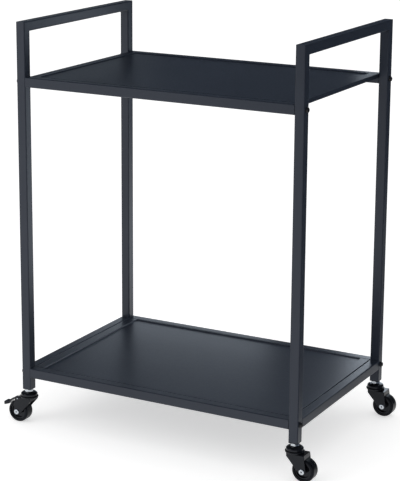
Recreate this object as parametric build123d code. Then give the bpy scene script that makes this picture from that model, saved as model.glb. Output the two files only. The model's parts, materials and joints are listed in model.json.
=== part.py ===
from build123d import *
import math
import os

# Two-shelf kitchen trolley on four swivel casters.
# Millimetres, +Z up. X runs from end to end, Y from front (negative) to back.
# The origin is on the floor, under the middle of the whole trolley with its casters and pedals.

# Frame of square tube
frame_length = 600.0
frame_depth = 400.0
frame_height = 800.0
tube_size = 19.0
tube_wall = 1.5
tube_corner = 2.0
least_inner_corner = 0.3

# Shelves: how far the handles rise over the upper rails, the lower rails' height, and the sheet panels
handle_rise = 105.0
bottom_shelf_level = 115.0
sheet_thickness = 1.0
panel_recess = 2.0
panel_draft = 1.4
panel_corner = 5.0
panel_bend = 1.2
panel_end_rim = 18.0
panel_end_flange = 8.0
panel_end_gap = 1.0
panel_rail_gap = 0.2

# Screws through the posts, and the threaded blocks that take them
screw_diameter = 5.0
screw_head_diameter = 10.0
screw_head_height = 4.6
screw_head_dome = 2.6
screw_socket_width = 3.0
screw_socket_depth = 1.6
screw_grip = 14.0
screw_hole_clearance = 0.5
thread_clearance = 0.05
block_length = 18.0
block_clearance = 0.1

# Plugs in the posts' lower ends
plug_flange = 2.0
plug_depth = 22.0
plug_clearance = 0.1
plug_edge_round = 1.2

# Caster wheel and axle
wheel_diameter = 44.0
tread_width = 22.0
tread_thickness = 5.5
tread_shoulder = 3.4
rim_width = 18.0
rim_thickness = 2.5
web_width = 9.0
hub_width = 23.0
hub_diameter = 13.0
axle_diameter = 6.0
axle_head_diameter = 10.6
axle_head_height = 2.0
axle_head_round = 1.2
axle_hole_diameter = 3.0
axle_hole_depth = 5.0

# Caster fork: hood over the wheel, two legs and the round race ring on top
swivel_trail = 21.0
wheel_headroom = 3.0
hood_roof = 5.5
hood_front = 11.0
hood_back = 24.5
hood_back_wall = 2.0
hood_back_drop = 2.3
leg_thickness = 2.7
leg_boss_radius = 7.5
fork_edge_round = 1.0
hub_side_gap = 0.3
race_ring_diameter = 36.6
race_ring_height = 4.0
race_ring_round = 1.4

# Caster head, stem and nut
thrust_washer_thickness = 0.8
thrust_washer_diameter = 22.0
swivel_gap = 0.1
head_diameter = 33.0
head_height = 7.0
head_skirt = 2.8
head_top_diameter = 17.0
shank_diameter = 8.0
peened_end_diameter = 12.0
peened_end_height = 2.0
collar_diameter = 12.0
collar_height = 0.7
stem_diameter = 10.0
stem_end_chamfer = 1.0
stem_end_below_plug_top = 2.0
nut_width = 16.0
nut_height = 5.0
nut_corner_bevel = 1.1

# Brake pedal: an arm that follows the wheel, and a tab at its end
brake_pin_diameter = 3.0
brake_pin_end_inset = 0.5
brake_pivot_from_back = 5.0
brake_pivot_below_roof = 3.1
pedal_hub_radius = 3.0
pedal_width = 14.0
pedal_side_gap = 0.4
pedal_slot_lead = 4.5
pedal_thickness = 3.6
pedal_tread_gap = 2.5
pedal_arm_start = 68.0
pedal_arm_end = 28.0
pedal_tab_reach = 33.5
pedal_tab_rise = 10.5
pedal_tab_radius = 3.4
pedal_tab_corner = 4.0

# Fits of shafts in their holes, on the radius
running_clearance = 0.05
seat_clearance = 0.02

# Largest share of a wall that a rounded edge may take, and how far cutters run past a face
round_limit = 0.88
past_cut = 1.0
hexagon_sides = 6

# Values that follow from the sizes above
inner_size = tube_size - 2 * tube_wall
inner_corner = max(tube_corner - tube_wall, least_inner_corner)
half_tube = tube_size / 2
top_shelf_level = frame_height - handle_rise
post_x = frame_length / 2 - half_tube
post_y = frame_depth / 2 - half_tube
rail_run_x = frame_length - 2 * tube_size
rail_run_y = frame_depth - 2 * tube_size

wheel_radius = wheel_diameter / 2
rim_radius = wheel_radius - tread_thickness
axle_level = wheel_radius
well_width = hub_width + 2 * hub_side_gap
fork_width = well_width + 2 * leg_thickness
roof_underside = wheel_diameter + wheel_headroom
roof_level = roof_underside + hood_roof
ring_level = roof_level + race_ring_height
head_base = ring_level + thrust_washer_thickness + swivel_gap
head_top = head_base + head_height
nut_base = head_top + collar_height
post_foot = nut_base + nut_height
post_end = post_foot + plug_flange
stem_top = post_end + plug_depth - stem_end_below_plug_top

brake_pivot = (hood_back - brake_pivot_from_back, roof_level - brake_pivot_below_roof)
pedal_reach = swivel_trail + pedal_tab_reach + pedal_tab_radius
wheel_reach = swivel_trail + wheel_radius
middle_shift = (pedal_reach - wheel_reach) / 2

shelf_levels = {"top": top_shelf_level, "bottom": bottom_shelf_level}
end_signs = {"left": -1, "right": 1}
side_signs = {"front": -1, "back": 1}

nodes = {}


def keep(name, *pieces):
    """Stores a node in the trolley's frame. Several pieces make one group."""
    placed = [Pos(middle_shift, 0, 0) * piece for piece in pieces]
    nodes[name] = placed[0] if len(placed) == 1 else Compound(children=placed)


def tube(plane, length):
    """Square tube with rounded corners, centred on the plane's origin."""
    outside = RectangleRounded(tube_size, tube_size, tube_corner)
    inside = RectangleRounded(inner_size, inner_size, inner_corner)
    return extrude(plane * (outside - inside), length / 2, both=True)


def turned(points, arcs=()):
    """Solid of revolution about Z from a closed outline of (radius, height) points."""
    lines = [Line(points[i], points[i + 1]) for i in range(len(points) - 1)]
    outline = make_face(lines + list(arcs))
    return revolve(Plane.XZ * outline, Axis.Z)


def bar_along_x(radius, length):
    return Rot(Y=90) * Cylinder(radius, length)


def bar_along_y(radius, length):
    return Rot(X=90) * Cylinder(radius, length)


def mitre_plane(side):
    """Plane of the welded corner between a post and the handle bar."""
    return Plane(origin=(0, side * frame_depth / 2, frame_height), z_dir=(0, -side, 1))


def make_end_frame(end):
    x = end_signs[end] * post_x
    for side, sign in side_signs.items():
        run = frame_height - post_end
        post = Pos(x, sign * post_y, post_end + run / 2) * tube(Plane.XY, run)
        post = split(post, bisect_by=mitre_plane(sign), keep=Keep.BOTTOM)
        hole_radius = (screw_diameter + screw_hole_clearance) / 2
        for level in shelf_levels.values():
            hole = bar_along_x(hole_radius, tube_size + past_cut)
            post -= Pos(x, sign * post_y, level - half_tube) * hole
        keep(f"{end}_{side}_post", post)
    handle = Pos(x, 0, frame_height - half_tube) * tube(Plane.XZ, frame_depth)
    for sign in side_signs.values():
        handle = split(handle, bisect_by=mitre_plane(sign), keep=Keep.TOP)
    keep(f"{end}_handle_bar", handle)
    keep(f"{end}_side_rail", Pos(x, 0, bottom_shelf_level - half_tube) * tube(Plane.XZ, rail_run_y))


def rounded_tub(top_x, top_y, depth, inset):
    """Shallow tapered tub, its rim at height 0."""
    mouth = RectangleRounded(top_x, top_y, panel_corner)
    floor_corner = max(panel_corner - inset, least_inner_corner)
    floor = RectangleRounded(top_x - 2 * inset, top_y - 2 * inset, floor_corner)
    return loft([Plane.XY * mouth, Pos(0, 0, -depth) * floor])


def make_panel():
    """Sheet panel with a pressed recess, flat end rims and end flanges, its rim at height 0."""
    length = rail_run_x - 2 * panel_end_gap
    width = rail_run_y - 2 * panel_rail_gap
    recess_x = length - 2 * panel_end_rim
    recess_y = width - 2 * sheet_thickness
    top = (Align.CENTER, Align.CENTER, Align.MAX)
    panel = Box(length, width, sheet_thickness, align=top)
    for sign in end_signs.values():
        flange = Box(sheet_thickness, width, panel_end_flange, align=top)
        panel += Pos(sign * (length - sheet_thickness) / 2, 0, 0) * flange
    bends = panel.edges().filter_by(Axis.Y).group_by(Axis.Z)[-1]
    panel = fillet(bends, panel_bend)
    tub_depth = panel_recess + sheet_thickness
    panel += rounded_tub(recess_x + 2 * sheet_thickness, width, tub_depth, panel_draft)
    panel -= rounded_tub(recess_x, recess_y, panel_recess, panel_draft)
    return panel


def make_screw():
    """Button-head screw along Z, its head above height 0."""
    base = (Align.CENTER, Align.CENTER, Align.MIN)
    head = Cylinder(screw_head_diameter / 2, screw_head_height, align=base)
    head = fillet(head.edges().group_by(Axis.Z)[-1], min(screw_head_dome, screw_head_height * round_limit))
    socket = RegularPolygon(screw_socket_width / 2, hexagon_sides, major_radius=False)
    head -= extrude(Pos(0, 0, screw_head_height) * socket, -screw_socket_depth)
    hanging = (Align.CENTER, Align.CENTER, Align.MAX)
    shank = Cylinder(screw_diameter / 2, tube_size + screw_grip, align=hanging)
    return head + shank


def make_shelf(shelf):
    level = shelf_levels[shelf]
    centre = level - half_tube
    screw = make_screw()
    block_size = inner_size - 2 * block_clearance
    block_profile = RectangleRounded(block_size, block_size, inner_corner)
    block_profile -= Circle(screw_diameter / 2 + thread_clearance)
    block = extrude(Plane.YZ * block_profile, block_length / 2, both=True)
    screws = []
    blocks = []
    for side, side_sign in side_signs.items():
        y = side_sign * post_y
        keep(f"{shelf}_shelf_{side}_rail", Pos(0, y, centre) * tube(Plane.YZ, rail_run_x))
        for end_sign in end_signs.values():
            screws.append(Pos(end_sign * frame_length / 2, y, centre) * Rot(Y=end_sign * 90) * screw)
            blocks.append(Pos(end_sign * (rail_run_x - block_length) / 2, y, centre) * block)
    keep(f"{shelf}_shelf_panel", Pos(0, 0, level) * make_panel())
    keep(f"{shelf}_shelf_screws", *screws)
    keep(f"{shelf}_rail_nut_blocks", *blocks)


def make_plug():
    """Square plug with a flange under the post's end and a bore for the caster stem."""
    flange = extrude(Pos(0, 0, post_foot) * RectangleRounded(tube_size, tube_size, tube_corner), plug_flange)
    flange = fillet(flange.edges().group_by(Axis.Z)[0], min(plug_edge_round, plug_flange * round_limit))
    body_size = inner_size - 2 * plug_clearance
    body = extrude(Pos(0, 0, post_end) * RectangleRounded(body_size, body_size, inner_corner), plug_depth)
    bore = Cylinder(stem_diameter / 2 + thread_clearance, 2 * (plug_flange + plug_depth))
    return flange + body - Pos(0, 0, post_end) * bore


def make_stem():
    """Stem from its peened end under the hood roof, through the head, to the thread in the plug."""
    shank = shank_diameter / 2
    thread = stem_diameter / 2
    peen_top = roof_underside - swivel_gap
    outline = [
        (0, peen_top - peened_end_height),
        (peened_end_diameter / 2 - peened_end_height / 2, peen_top - peened_end_height),
        (peened_end_diameter / 2, peen_top - peened_end_height / 2),
        (peened_end_diameter / 2, peen_top),
        (shank, peen_top),
        (shank, head_top),
        (collar_diameter / 2, head_top),
        (collar_diameter / 2, nut_base),
        (thread, nut_base),
        (thread, stem_top - stem_end_chamfer),
        (thread - stem_end_chamfer, stem_top),
        (0, stem_top),
        (0, peen_top - peened_end_height),
    ]
    return turned(outline)


def make_nut():
    """Hexagon nut between the collar and the plug, its corners bevelled at both ends."""
    hexagon = RegularPolygon(nut_width / 2, hexagon_sides, major_radius=False)
    hexagon -= Circle(stem_diameter / 2 + thread_clearance)
    body = extrude(Pos(0, 0, nut_base) * hexagon, nut_height)
    corner = nut_width / math.sqrt(3)
    flat = nut_width / 2
    envelope = [
        (0, nut_base),
        (flat, nut_base),
        (corner, nut_base + nut_corner_bevel),
        (corner, post_foot - nut_corner_bevel),
        (flat, post_foot),
        (0, post_foot),
        (0, nut_base),
    ]
    return body & turned(envelope)


def make_head():
    """Domed cap of the swivel, fixed on the stem."""
    bore = shank_diameter / 2 + seat_clearance
    rim = head_diameter / 2
    crest = head_top_diameter / 2
    shoulder = (rim, head_base + head_skirt)
    summit = (crest, head_top)
    dome = EllipticalCenterArc((crest, shoulder[1]), rim - crest, head_height - head_skirt, arc_size=90)
    top = [Line(summit, (bore, head_top)), Line((bore, head_top), (bore, head_base))]
    return turned([(bore, head_base), (rim, head_base), shoulder], [dome] + top)


def make_washer():
    ring = Circle(thrust_washer_diameter / 2) - Circle(shank_diameter / 2 + running_clearance)
    return extrude(Pos(0, 0, ring_level) * ring, thrust_washer_thickness)


def make_fork(braked):
    """Hood, legs and race ring in one moulding. The wheel trails towards +X."""
    boss = Pos(swivel_trail, axle_level) * Circle(leg_boss_radius)
    roof_length = hood_front + hood_back
    roof = Pos((hood_back - hood_front) / 2, roof_level - hood_roof / 2) * Rectangle(roof_length, hood_roof)
    side_view = make_hull(boss.edges() + roof.edges())
    fork = extrude(Plane.XZ * side_view, fork_width / 2, both=True)
    outline = fork.edges().filter_by(lambda edge: abs(abs(edge.center().Y) - fork_width / 2) < seat_clearance)
    fork = fillet(outline, min(fork_edge_round, leg_thickness / 2 * round_limit))
    ring = Cylinder(race_ring_diameter / 2, race_ring_height, align=(Align.CENTER, Align.CENTER, Align.MIN))
    ring = fillet(ring.edges(), min(race_ring_round, race_ring_height / 2 * round_limit))
    fork += Pos(0, 0, roof_level) * ring
    well_depth = 2 * roof_underside
    well_top = (Align.MAX, Align.CENTER, Align.MAX)
    well = Box(2 * roof_length, well_width, well_depth, align=well_top)
    fork -= Pos(hood_back - hood_back_wall, 0, roof_underside) * well
    fork -= Pos(2 * hood_back, 0, roof_underside - hood_back_drop) * well
    fork -= Pos(0, 0, ring_level) * Cylinder(shank_diameter / 2 + running_clearance, 2 * well_depth)
    fork -= Pos(swivel_trail, 0, axle_level) * bar_along_y(axle_diameter / 2 + seat_clearance, 2 * fork_width)
    if braked:
        pin_x, pin_z = brake_pivot
        slot_front = pin_x - pedal_slot_lead
        slot = Box(roof_length, pedal_width + 2 * pedal_side_gap, hood_roof + hood_back_drop + past_cut,
                   align=(Align.MIN, Align.CENTER, Align.MAX))
        fork -= Pos(slot_front, 0, roof_level) * slot
        fork -= Pos(pin_x, 0, pin_z) * bar_along_y(brake_pin_diameter / 2 + seat_clearance, 2 * fork_width)
    return fork


def make_axle():
    """Rivet across the fork legs, with a hollow end in each head."""
    half = fork_width / 2
    head = axle_head_diameter / 2
    shaft = Cylinder(axle_diameter / 2, fork_width)
    for sign in (1, -1):
        cap = Cylinder(head, axle_head_height)
        rim = cap.edges().sort_by(Axis.Z)[-1 if sign > 0 else 0]
        cap = fillet(rim, min(axle_head_round, axle_head_height * round_limit))
        shaft += Pos(0, 0, sign * (half + axle_head_height / 2)) * cap
        hollow = Cylinder(axle_hole_diameter / 2, 2 * axle_hole_depth)
        shaft -= Pos(0, 0, sign * (half + axle_head_height)) * hollow
    return Pos(swivel_trail, 0, axle_level) * Rot(X=90) * shaft


def make_wheel_core():
    """Hub, web and rim of the wheel, turned about the axle."""
    bore = axle_diameter / 2 + running_clearance
    hub = hub_diameter / 2
    rim_inside = rim_radius - rim_thickness
    half_outline = [
        (bore, hub_width / 2),
        (hub, hub_width / 2),
        (hub, web_width / 2),
        (rim_inside, web_width / 2),
        (rim_inside, rim_width / 2),
        (rim_radius, rim_width / 2),
    ]
    other_half = [(radius, -height) for radius, height in reversed(half_outline)]
    core = turned(half_outline + other_half + half_outline[:1])
    return Pos(swivel_trail, 0, axle_level) * Rot(X=90) * core


def make_tread():
    """Tyre ring with rounded shoulders, fitted on the rim."""
    section = Rectangle(tread_thickness - seat_clearance, tread_width, align=(Align.MIN, Align.CENTER))
    shoulders = section.vertices().group_by(Axis.X)[-1]
    widest_round = min(tread_thickness, tread_width / 2) * round_limit
    section = fillet(shoulders, min(tread_shoulder, widest_round))
    ring = revolve(Plane.XZ * Pos(rim_radius + seat_clearance, 0) * section, Axis.Z)
    return Pos(swivel_trail, 0, axle_level) * Rot(X=90) * ring


def hull_of(first, second):
    """Flat outline round two discs, each given as (centre, radius)."""
    discs = [Pos(*centre) * Circle(radius) for centre, radius in (first, second)]
    return make_hull(discs[0].edges() + discs[1].edges())


def round_the_wheel(radius, degrees):
    angle = math.radians(degrees)
    return (swivel_trail + radius * math.cos(angle), axle_level + radius * math.sin(angle))


def make_pedal():
    """Brake pedal, drawn released: hub on the pin, arm round the wheel, and the tab to step on."""
    half = pedal_thickness / 2
    middle = wheel_radius + pedal_tread_gap + half
    hub = (brake_pivot, pedal_hub_radius)
    arm_top = (round_the_wheel(middle, pedal_arm_start), half)
    arm_foot = (round_the_wheel(middle, pedal_arm_end), half)
    tab = ((swivel_trail + pedal_tab_reach, axle_level + pedal_tab_rise), pedal_tab_radius)
    sweep_angle = pedal_arm_start - pedal_arm_end
    arm = trace(CenterArc((swivel_trail, axle_level), middle, pedal_arm_end, sweep_angle), pedal_thickness)
    side_view = hull_of(hub, arm_top) + arm + hull_of(arm_foot, tab)
    pedal = extrude(Plane.XZ * side_view, pedal_width / 2, both=True)
    pin_hole = bar_along_y(brake_pin_diameter / 2 + running_clearance, 2 * pedal_width)
    pedal -= Pos(brake_pivot[0], 0, brake_pivot[1]) * pin_hole
    hub_end = brake_pivot[0] - pedal_hub_radius
    plan = Pos(hub_end, 0) * Rectangle(pedal_reach - hub_end, pedal_width, align=(Align.MIN, Align.CENTER))
    plan = fillet(plan.vertices().group_by(Axis.X)[-1], min(pedal_tab_corner, pedal_width / 2 * round_limit))
    return pedal & extrude(plan, 2 * roof_level)


def make_brake_pin():
    pin = bar_along_y(brake_pin_diameter / 2, fork_width - 2 * brake_pin_end_inset)
    return Pos(brake_pivot[0], 0, brake_pivot[1]) * pin


def make_caster(end, side):
    """One caster under its post. The wheels trail outwards; the left pair has brakes."""
    braked = end == "left"
    heading = 0 if end == "right" else 180
    place = Pos(end_signs[end] * post_x, side_signs[side] * post_y, 0) * Rot(Z=heading)
    pieces = {
        "post_plug": make_plug(),
        "caster_stem": make_stem(),
        "stem_nut": make_nut(),
        "swivel_head": make_head(),
        "thrust_washer": make_washer(),
        "caster_fork": make_fork(braked),
        "axle_rivet": make_axle(),
        "wheel_core": make_wheel_core(),
        "wheel_tread": make_tread(),
    }
    if braked:
        pieces["brake_pedal"] = make_pedal()
        pieces["brake_pin"] = make_brake_pin()
    for name, piece in pieces.items():
        keep(f"{end}_{side}_{name}", place * piece)


for end_name in end_signs:
    make_end_frame(end_name)
    for side_name in side_signs:
        make_caster(end_name, side_name)
for shelf_name in shelf_levels:
    make_shelf(shelf_name)

os.makedirs("parts", exist_ok=True)
for node_name, solid in nodes.items():
    export_step(solid, f"parts/{node_name}.step")
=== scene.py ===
import json
import math

import bpy
from mathutils import Matrix, Vector

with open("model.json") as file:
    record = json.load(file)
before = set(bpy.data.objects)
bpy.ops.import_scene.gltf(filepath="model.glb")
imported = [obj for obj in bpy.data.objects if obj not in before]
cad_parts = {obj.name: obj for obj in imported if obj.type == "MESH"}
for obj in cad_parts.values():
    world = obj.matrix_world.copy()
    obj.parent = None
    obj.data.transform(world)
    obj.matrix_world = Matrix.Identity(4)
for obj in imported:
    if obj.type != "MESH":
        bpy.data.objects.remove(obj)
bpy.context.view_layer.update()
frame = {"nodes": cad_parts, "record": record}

# Kitchen trolley, dressed on its CAD frame. Metres, +Z up, floor at height 0.
# Every visible piece is a CAD solid, which gets its finish here. Colours are linear.

scene = bpy.context.scene
record = frame["record"]

# Camera, as fitted to the straight edges of the photograph. The sensor spans the picture's height.
image_height = 481
sensor_size = 36.0
focal_pixels = 1665.1
axis_row = 180.0
camera_place = Vector((1.4925, -2.7794, 1.2138))
camera_yaw = 0.4940
camera_pitch = 0.2262
camera_roll = 0.0063
clip_near = 0.05
clip_far = 60.0

# Shares of a noise between which a colour or a roughness goes from its first to its second value
colour_band = (0.35, 0.65)
roughness_band = (0.3, 0.7)

# Satin powder coat of the tubes and panels: slow changes of shade, finer ones of gloss, and a fine peel
paint_dark = (0.0121, 0.0171, 0.0283)
paint_light = (0.0161, 0.0216, 0.0338)
paint_roughness = (0.35, 0.39)
paint_specular = 0.46
paint_gloss_tint = (0.89, 0.92, 1.0, 1.0)
shade_scale = 5.0
shade_detail = 3.0
gloss_scale = 260.0
gloss_detail = 2.0
peel_scale = 1100.0
peel_detail = 1.5
peel_height = 0.000008
peel_strength = 0.5

# What all moulded pieces share
moulded_gloss_tint = (0.86, 0.91, 1.0, 1.0)
patch_scale = 60.0
patch_detail = 4.0
grain_detail = 2.0
grain_strength = 0.4

# Glossy black plastic of the casters' heads, forks, wheel cores and pedals
plastic_dark = (0.0040, 0.0043, 0.0058)
plastic_light = (0.0062, 0.0065, 0.0082)
plastic_roughness = (0.08, 0.16)
plastic_specular = 0.3
plastic_grain_scale = 900.0
plastic_grain_height = 0.00001

# Rubber of the treads, and the matte plastic of the post plugs in the same colours
rubber_dark = (0.0040, 0.0046, 0.0064)
rubber_light = (0.0064, 0.0072, 0.0094)
tread_roughness = (0.22, 0.34)
tread_specular = 0.14
tread_grain_scale = 700.0
tread_grain_height = 0.00002
plug_roughness = (0.45, 0.6)
plug_specular = 0.4
plug_grain_scale = 900.0
plug_grain_height = 0.00004

# Bright steel of the casters' small parts and the nut blocks, and the dark screws
steel_dark = (0.42, 0.45, 0.49)
steel_light = (0.64, 0.68, 0.72)
steel_metallic = 1.0
steel_roughness = (0.16, 0.3)
screw_dark = (0.014, 0.014, 0.016)
screw_light = (0.026, 0.026, 0.029)
screw_metallic = 0.35
screw_roughness = (0.28, 0.42)
mark_scale = 420.0
mark_detail = 3.0
mark_height = 0.00003
mark_strength = 0.3
# Painted shade: reach and samples of the darkening of the steel's colour deep in hollows and crevices
painted_shade_reach = 0.003
painted_shade_samples = 8

# Light and floor
white = (1.0, 1.0, 1.0, 1.0)
ambient_strength = 0.7
background_strength = 1.0
softbox_place = Vector((-1.5, -2.1, 1.3))
softbox_target = Vector((0.0, 0.0, 0.45))
softbox_width = 1.5
softbox_height = 1.9
softbox_power = 13.0
floor_level = 0.0
floor_size = 40.0
floor_colour = (0.86, 0.86, 0.86, 1.0)
floor_lift = (0.52, 0.52, 0.52, 1.0)
floor_roughness = 0.9
floor_specular = 0.0

# Dark room round the trolley. Its back wall's lower edge slopes from the left end to the right end.
room_half = 2.8
room_back = 1.3
room_high = 3.2
front_wall_low = 0.2
back_wall_lows = (0.41, 0.0)
room_colour = (0.098, 0.124, 0.172, 1.0)

# How far back the flags and the white cards stand
card_back = 0.62

# Dark flags on the right, one upright and one on the floor
flag_left = 0.40
flag_top = 0.68
floor_flag_left = 0.42
floor_flag_near = -0.4
floor_flag_lift = 0.002

# Cool white cards behind the trolley, and a grey one high on the left
card_roughness = 1.0
card_colour = (0.81, 0.90, 1.0, 1.0)
pale_card_sides = (0.06, 0.32)
pale_card_top = 0.78
pale_card_glow = 1.75
low_card_sides = (-0.7, -0.15)
low_card_top = 0.265
low_card_glow = 1.45
high_card_sides = (-1.9, -0.85)
high_card_heights = (0.90, 1.40)
high_card_back = 1.25
high_card_colour = (0.26, 0.30, 0.34, 1.0)
no_glow = 0.0


def new_material(name):
    material = bpy.data.materials.new(name)
    material.use_nodes = True
    shader = material.node_tree.nodes["Principled BSDF"]
    return material, material.node_tree, shader


def add_node(tree, kind, **settings):
    node = tree.nodes.new(kind)
    for key, value in settings.items():
        setattr(node, key, value)
    return node


def object_place(tree):
    return add_node(tree, "ShaderNodeTexCoord").outputs["Object"]


def noise(tree, place, scale, detail):
    node = add_node(tree, "ShaderNodeTexNoise")
    node.inputs["Scale"].default_value = scale
    node.inputs["Detail"].default_value = detail
    tree.links.new(place, node.inputs["Vector"])
    return node.outputs["Fac"]


def colour_between(tree, value, first, second):
    ramp = add_node(tree, "ShaderNodeValToRGB")
    for element, share, colour in zip(ramp.color_ramp.elements, colour_band, (first, second)):
        element.position = share
        element.color = (*colour, 1.0)
    tree.links.new(value, ramp.inputs["Fac"])
    return ramp.outputs["Color"]


def roughness_between(tree, value, first, second):
    node = add_node(tree, "ShaderNodeMapRange")
    lowest, highest = roughness_band
    node.inputs["From Min"].default_value = lowest
    node.inputs["From Max"].default_value = highest
    node.inputs["To Min"].default_value = first
    node.inputs["To Max"].default_value = second
    tree.links.new(value, node.inputs["Value"])
    return node.outputs["Result"]


def bump(tree, shader, value, height, strength):
    node = add_node(tree, "ShaderNodeBump")
    node.inputs["Strength"].default_value = strength
    node.inputs["Distance"].default_value = height
    tree.links.new(value, node.inputs["Height"])
    tree.links.new(node.outputs["Normal"], shader.inputs["Normal"])


def make_paint(name):
    """Satin powder coat: fine peel, with slow changes of shade and finer ones of gloss."""
    material, tree, shader = new_material(name)
    place = object_place(tree)
    shade = noise(tree, place, shade_scale, shade_detail)
    gloss = noise(tree, place, gloss_scale, gloss_detail)
    peel = noise(tree, place, peel_scale, peel_detail)
    tree.links.new(colour_between(tree, shade, paint_dark, paint_light), shader.inputs["Base Color"])
    tree.links.new(roughness_between(tree, gloss, *paint_roughness), shader.inputs["Roughness"])
    shader.inputs["Specular IOR Level"].default_value = paint_specular
    shader.inputs["Specular Tint"].default_value = paint_gloss_tint
    bump(tree, shader, peel, peel_height, peel_strength)
    return material


def make_moulded(name, dark, light, roughness, specular, grain_scale, grain_height):
    """Moulded plastic or rubber with a fine grain."""
    material, tree, shader = new_material(name)
    place = object_place(tree)
    patches = noise(tree, place, patch_scale, patch_detail)
    grain = noise(tree, place, grain_scale, grain_detail)
    tree.links.new(colour_between(tree, patches, dark, light), shader.inputs["Base Color"])
    tree.links.new(roughness_between(tree, patches, *roughness), shader.inputs["Roughness"])
    shader.inputs["Specular IOR Level"].default_value = specular
    shader.inputs["Specular Tint"].default_value = moulded_gloss_tint
    bump(tree, shader, grain, grain_height, grain_strength)
    return material


def make_steel(name, dark, light, metallic, roughness):
    """Turned steel: fine tool marks, small changes of gloss, and painted shade that darkens the colour deep
    in the hollows.
    """
    material, tree, shader = new_material(name)
    place = object_place(tree)
    marks = noise(tree, place, mark_scale, mark_detail)
    # Painted shade: the colour is darkened where the surface is closed in, in hollows and crevices
    painted_hollow_shade = add_node(tree, "ShaderNodeAmbientOcclusion", samples=painted_shade_samples, only_local=True)
    painted_hollow_shade.inputs["Distance"].default_value = painted_shade_reach
    tree.links.new(colour_between(tree, marks, dark, light), painted_hollow_shade.inputs["Color"])
    tree.links.new(painted_hollow_shade.outputs["Color"], shader.inputs["Base Color"])
    tree.links.new(roughness_between(tree, marks, *roughness), shader.inputs["Roughness"])
    shader.inputs["Metallic"].default_value = metallic
    bump(tree, shader, marks, mark_height, mark_strength)
    return material


def make_materials():
    """The material of each slot of the record."""
    return {
        "frame_paint": make_paint("frame_paint"),
        "caster_plastic": make_moulded("caster_plastic", plastic_dark, plastic_light, plastic_roughness,
                                       plastic_specular, plastic_grain_scale, plastic_grain_height),
        "plug_plastic": make_moulded("plug_plastic", rubber_dark, rubber_light, plug_roughness,
                                     plug_specular, plug_grain_scale, plug_grain_height),
        "tread_rubber": make_moulded("tread_rubber", rubber_dark, rubber_light, tread_roughness,
                                     tread_specular, tread_grain_scale, tread_grain_height),
        "bright_steel": make_steel("bright_steel", steel_dark, steel_light, steel_metallic, steel_roughness),
        "dark_screws": make_steel("dark_screws", screw_dark, screw_light, screw_metallic, screw_roughness),
    }


def dress_nodes():
    """Gives each CAD node the material of its slot."""
    materials = make_materials()
    slots = {part["node"]: part["material_slot"] for part in record["subparts"]}
    for node, piece in frame["nodes"].items():
        piece.data.materials.clear()
        piece.data.materials.append(materials[slots[node]])


def make_camera():
    data = bpy.data.cameras.new("camera")
    data.sensor_width = sensor_size
    data.lens = sensor_size * focal_pixels / image_height
    data.shift_y = (axis_row - image_height / 2) / image_height
    data.clip_start = clip_near
    data.clip_end = clip_far
    forward = Vector((-math.sin(camera_yaw) * math.cos(camera_pitch),
                      math.cos(camera_yaw) * math.cos(camera_pitch),
                      -math.sin(camera_pitch)))
    level = Vector((math.cos(camera_yaw), math.sin(camera_yaw), 0.0))
    upright = level.cross(forward)
    right = level * math.cos(camera_roll) + upright * math.sin(camera_roll)
    up = upright * math.cos(camera_roll) - level * math.sin(camera_roll)
    turn = Matrix((right, up, -forward)).transposed().to_4x4()
    camera = bpy.data.objects.new("camera", data)
    camera.matrix_world = Matrix.Translation(camera_place) @ turn
    scene.collection.objects.link(camera)
    scene.camera = camera


def make_softbox():
    """One large soft lamp in front of the trolley, on the left."""
    data = bpy.data.lights.new("left_softbox", "AREA")
    data.shape = "RECTANGLE"
    data.size = softbox_width
    data.size_y = softbox_height
    data.energy = softbox_power
    lamp = bpy.data.objects.new("left_softbox", data)
    lamp.location = softbox_place
    aim = softbox_target - softbox_place
    lamp.rotation_euler = aim.to_track_quat("-Z", "Y").to_euler()
    scene.collection.objects.link(lamp)


def seen_as_background(tree):
    """One for a ray from the camera, gloss or glass, which sees the white background, and else nought."""
    path = add_node(tree, "ShaderNodeLightPath")
    seen = path.outputs["Is Camera Ray"]
    for ray in ("Is Glossy Ray", "Is Transmission Ray"):
        either = add_node(tree, "ShaderNodeMath", operation="MAXIMUM")
        tree.links.new(seen, either.inputs[0])
        tree.links.new(path.outputs[ray], either.inputs[1])
        seen = either.outputs[0]
    return seen


def make_world():
    """Soft light from all round, and a white background where the camera, gloss and metal see it."""
    world = bpy.data.worlds.new("studio")
    world.use_nodes = True
    tree = world.node_tree
    ambient = tree.nodes["Background"]
    ambient.inputs["Color"].default_value = white
    ambient.inputs["Strength"].default_value = ambient_strength
    backdrop = add_node(tree, "ShaderNodeBackground")
    backdrop.inputs["Color"].default_value = white
    backdrop.inputs["Strength"].default_value = background_strength
    mix = add_node(tree, "ShaderNodeMixShader")
    tree.links.new(seen_as_background(tree), mix.inputs["Fac"])
    tree.links.new(ambient.outputs[0], mix.inputs[1])
    tree.links.new(backdrop.outputs[0], mix.inputs[2])
    tree.links.new(mix.outputs[0], tree.nodes["World Output"].inputs["Surface"])
    scene.world = world


def upright_sheet(left, right, back, low, high):
    return [(left, back, low), (right, back, low), (right, back, high), (left, back, high)]


def lying_sheet(left, right, near, back, level):
    return [(left, near, level), (right, near, level), (right, back, level), (left, back, level)]


def sheets_object(name, sheets):
    """Object of flat sheets, each given by its corners in turn."""
    corners = []
    faces = []
    for sheet in sheets:
        first = len(corners)
        corners += sheet
        faces.append(range(first, len(corners)))
    mesh = bpy.data.meshes.new(name)
    mesh.from_pydata(corners, [], faces)
    thing = bpy.data.objects.new(name, mesh)
    scene.collection.objects.link(thing)
    return thing


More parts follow.
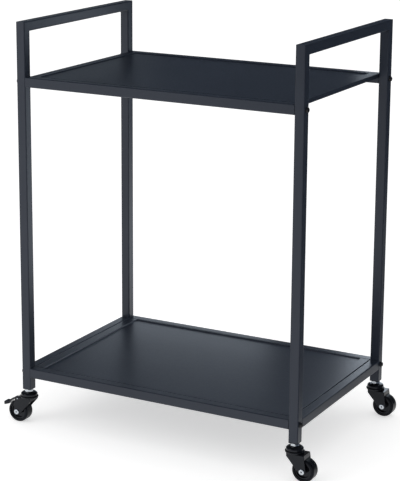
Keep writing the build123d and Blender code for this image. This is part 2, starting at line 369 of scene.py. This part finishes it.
def make_floor():
    """Pale floor that keeps the shadow, and is seen a little lighter, as the white background."""
    half = floor_size / 2
    floor = sheets_object("floor", [lying_sheet(-half, half, -half, half, floor_level)])
    material, tree, shader = new_material("floor")
    shader.inputs["Base Color"].default_value = floor_colour
    shader.inputs["Roughness"].default_value = floor_roughness
    shader.inputs["Specular IOR Level"].default_value = floor_specular
    glow = add_node(tree, "ShaderNodeEmission")
    glow.inputs["Color"].default_value = floor_lift
    tree.links.new(seen_as_background(tree), glow.inputs["Strength"])
    both = add_node(tree, "ShaderNodeAddShader")
    tree.links.new(shader.outputs[0], both.inputs[0])
    tree.links.new(glow.outputs[0], both.inputs[1])
    tree.links.new(both.outputs[0], tree.nodes["Material Output"].inputs["Surface"])
    floor.data.materials.append(material)


def make_card(name, sheets, colour, glow):
    """Card of the studio that only shows in the gloss of the object, out of the camera's sight."""
    card = sheets_object(name, sheets)
    card.visible_camera = False
    card.visible_shadow = False
    card.visible_diffuse = False
    material, _, shader = new_material(name)
    shader.inputs["Base Color"].default_value = colour
    shader.inputs["Roughness"].default_value = card_roughness
    shader.inputs["Emission Color"].default_value = colour
    shader.inputs["Emission Strength"].default_value = glow
    card.data.materials.append(material)


def make_room():
    """Dark walls and ceiling, and two dark flags on the right."""
    left_low, right_low = back_wall_lows
    front = upright_sheet(-room_half, room_half, -room_half, front_wall_low, room_high)
    back = [(-room_half, room_back, left_low), (room_half, room_back, right_low),
            (room_half, room_back, room_high), (-room_half, room_back, room_high)]
    front_left_low, front_right_low, front_right_high, front_left_high = front
    back_left_low, back_right_low, back_right_high, back_left_high = back
    left = [back_left_low, back_left_high, front_left_high, front_left_low]
    right = [back_right_low, back_right_high, front_right_high, front_right_low]
    ceiling = [back_right_high, back_left_high, front_left_high, front_right_high]
    flag = upright_sheet(flag_left, room_half, card_back, floor_level, flag_top)
    floor_flag = lying_sheet(floor_flag_left, room_half, floor_flag_near, card_back, floor_flag_lift)
    make_card("dark_room", [back, front, flag, floor_flag, left, right, ceiling], room_colour, no_glow)


def make_cards():
    """Cards that show in the left posts, in the bottom shelf, and in the left end of the top shelf."""
    pale = upright_sheet(*pale_card_sides, card_back, floor_level, pale_card_top)
    low = upright_sheet(*low_card_sides, card_back, floor_level, low_card_top)
    high = upright_sheet(*high_card_sides, high_card_back, *high_card_heights)
    make_card("pale_card", [pale], card_colour, pale_card_glow)
    make_card("low_card", [low], card_colour, low_card_glow)
    make_card("high_card", [high], high_card_colour, no_glow)


dress_nodes()
make_camera()
make_world()
make_softbox()
make_floor()
make_room()
make_cards()

scene.view_settings.view_transform = "Standard"
